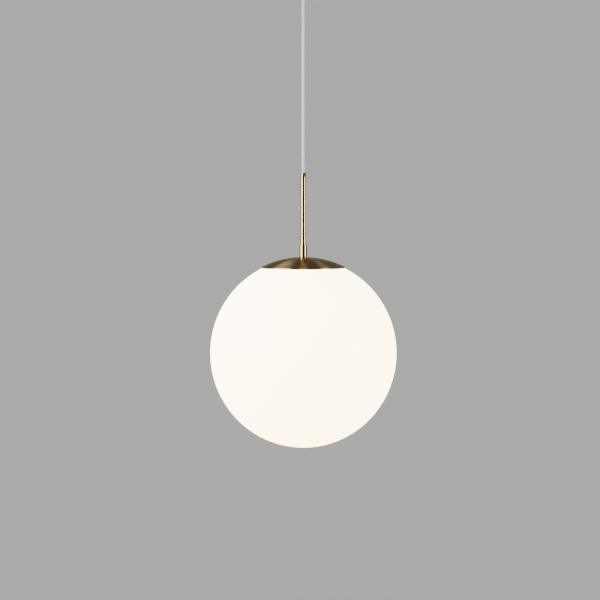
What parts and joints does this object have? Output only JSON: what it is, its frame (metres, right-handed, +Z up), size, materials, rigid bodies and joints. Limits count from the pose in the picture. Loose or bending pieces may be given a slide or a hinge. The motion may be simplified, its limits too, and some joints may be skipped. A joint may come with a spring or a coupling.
{
  "type": "pendant ceiling light",
  "caption": "Pendant ceiling light: opal glass globe under a shallow brushed brass dome, on a slim brass stem and a round white cord from a ceiling canopy.",
  "frame": {"origin": "middle of the ceiling bracket's top face, in the plane of the ceiling", "axes": "+Z up out of the ceiling along the stem's axis, +X along the bracket strap"},
  "size_m": [0.35, 0.35, 0.8953],
  "materials": {
    "brushed_brass": "circular-brushed, lacquered",
    "satin_brass": "satin polished",
    "opal_glass": "opal white, gloss",
    "white_cord": "textile braid",
    "zinc_steel": "zinc plated",
    "white_plastic": "moulded",
    "black_plastic": "moulded",
    "silicone": "matt",
    "nickel_brass": "nickel plated",
    "brown_core": "insulation",
    "blue_core": "insulation",
    "ceramic": "unglazed",
    "aluminium": "rolled",
    "bulb_diffuser": "frosted"
  },
  "bodies": {
    "ceiling": {"ceiling_bracket": "zinc_steel", "canopy_screw_left": "satin_brass", "canopy_screw_right": "satin_brass"},
    "canopy": {"canopy": "brushed_brass", "cord_grip": "satin_brass", "cord_grip_nut": "zinc_steel", "cord_grip_screw": "zinc_steel", "cord_in_canopy": "white_cord", "terminal_block": "white_plastic", "terminal_screw_live": "zinc_steel", "terminal_screw_neutral": "zinc_steel", "live_core": "brown_core", "neutral_core": "blue_core"},
    "cord": {"cord": "white_cord"},
    "lamp": {"stem_tube": "satin_brass", "stem_bush": "white_plastic", "cord_in_stem": "white_cord", "upper_nut": "zinc_steel", "holder_plate": "zinc_steel", "washer": "zinc_steel", "lower_nut": "zinc_steel", "holder_cap": "black_plastic", "holder_insert": "ceramic", "holder_skirt": "black_plastic", "thread_shell": "nickel_brass", "centre_contact": "nickel_brass", "live_lead": "brown_core", "neutral_lead": "blue_core"},
    "globe": {"globe": "opal_glass"},
    "top_cap": {"top_cap": "brushed_brass", "cap_gasket": "silicone", "collar": "satin_brass", "collar_screw": "zinc_steel"},
    "bulb": {"bulb_contact": "nickel_brass", "bulb_insulator": "black_plastic", "bulb_base": "aluminium", "bulb_housing": "white_plastic", "bulb_led_board": "aluminium", "bulb_envelope": "bulb_diffuser"},
    "catch_1": {"catch_knob_1": "nickel_brass", "catch_tab_1": "zinc_steel", "catch_pad_1": "silicone"},
    "catch_2": {"catch_knob_2": "nickel_brass", "catch_tab_2": "zinc_steel", "catch_pad_2": "silicone"},
    "catch_3": {"catch_knob_3": "nickel_brass", "catch_tab_3": "zinc_steel", "catch_pad_3": "silicone"}
  },
  "joints": [
    {"name": "canopy_drop", "type": "slide", "parent": "ceiling", "child": "canopy", "axis": [0, 0, -1], "range_m": [0, 0.05]},
    {"name": "pendant_swing", "type": "hinge", "parent": "canopy", "child": "cord", "pos_m": [0, 0, -0.039], "axis": [0, 1, 0], "range_deg": [-12, 12]},
    {"name": "lamp_tilt", "type": "hinge", "parent": "cord", "child": "lamp", "pos_m": [0, 0, -0.3835], "axis": [1, 0, 0], "range_deg": [-8, 8]},
    {"name": "cap_lift", "type": "slide", "parent": "lamp", "child": "top_cap", "axis": [0, 0, 1], "range_m": [0, 0.1]},
    {"name": "globe_turn", "type": "hinge", "parent": "lamp", "child": "globe", "pos_m": [0, 0, -0.7176], "axis": [0, 0, 1], "continuous": true},
    {"name": "bulb_out", "type": "slide", "parent": "lamp", "child": "bulb", "axis": [0, 0, -1], "range_m": [0, 0.028]},
    {"name": "catch_turn_1", "type": "hinge", "parent": "lamp", "child": "catch_1", "pos_m": [0, 0.048, -0.5588], "axis": [0, 0, 1], "range_deg": [0, 90]},
    {"name": "catch_turn_2", "type": "hinge", "parent": "lamp", "child": "catch_2", "pos_m": [-0.04157, -0.024, -0.5588], "axis": [0, 0, 1], "range_deg": [0, 90]},
    {"name": "catch_turn_3", "type": "hinge", "parent": "lamp", "child": "catch_3", "pos_m": [0.04157, -0.024, -0.5588], "axis": [0, 0, 1], "range_deg": [0, 90]}
  ]
}
